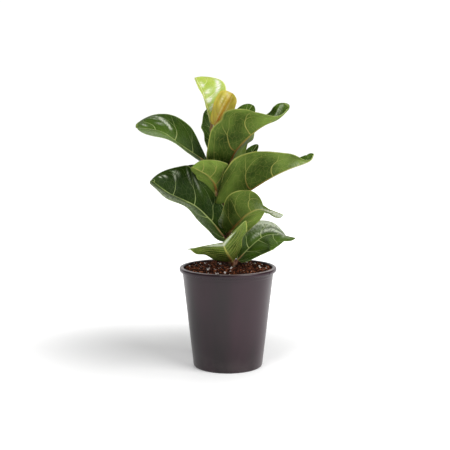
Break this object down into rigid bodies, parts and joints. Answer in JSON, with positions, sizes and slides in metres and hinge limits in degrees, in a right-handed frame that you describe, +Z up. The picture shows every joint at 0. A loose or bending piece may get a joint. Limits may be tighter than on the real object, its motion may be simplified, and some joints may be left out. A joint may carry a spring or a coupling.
{
  "type": "potted bambino fiddle leaf fig",
  "caption": "Compact fiddle leaf fig with broad folded leaves round one stem, growing in a tapered round pot with a rolled rim.",
  "frame": {"origin": "centre of the pot's foot, on the surface it stands on", "axes": "+Z up along the pot's axis, -Y towards the plant's front, +X to the right seen from the front"},
  "size_m": [0.2344, 0.1495, 0.3874],
  "materials": {
    "pot_plastic": "dark warm grey satin plastic",
    "soil_mix": "reddish brown bark and peat mix with pale specks",
    "stem_bark": "dull brown young bark",
    "leaf_green": "waxy deep green above, matt light green below, pale veins",
    "leaf_lime": "glossy lime green young leaf",
    "leaf_amber": "glossy amber young leaf with red veins"
  },
  "bodies": {
    "root": {"pot": "pot_plastic", "soil": "soil_mix", "stem": "stem_bark", "leaf_low_front": "leaf_green", "leaf_low_right": "leaf_green", "leaf_middle_left": "leaf_green", "leaf_middle_front": "leaf_green", "leaf_middle_right": "leaf_green", "leaf_small_front": "leaf_green", "leaf_back_left": "leaf_green", "leaf_back_right": "leaf_green", "leaf_upper_right": "leaf_green", "leaf_upper_left": "leaf_green", "leaf_back_upper": "leaf_green", "leaf_back_top": "leaf_green", "leaf_new_lime": "leaf_lime", "leaf_new_amber": "leaf_amber"}
  },
  "joints": []
}
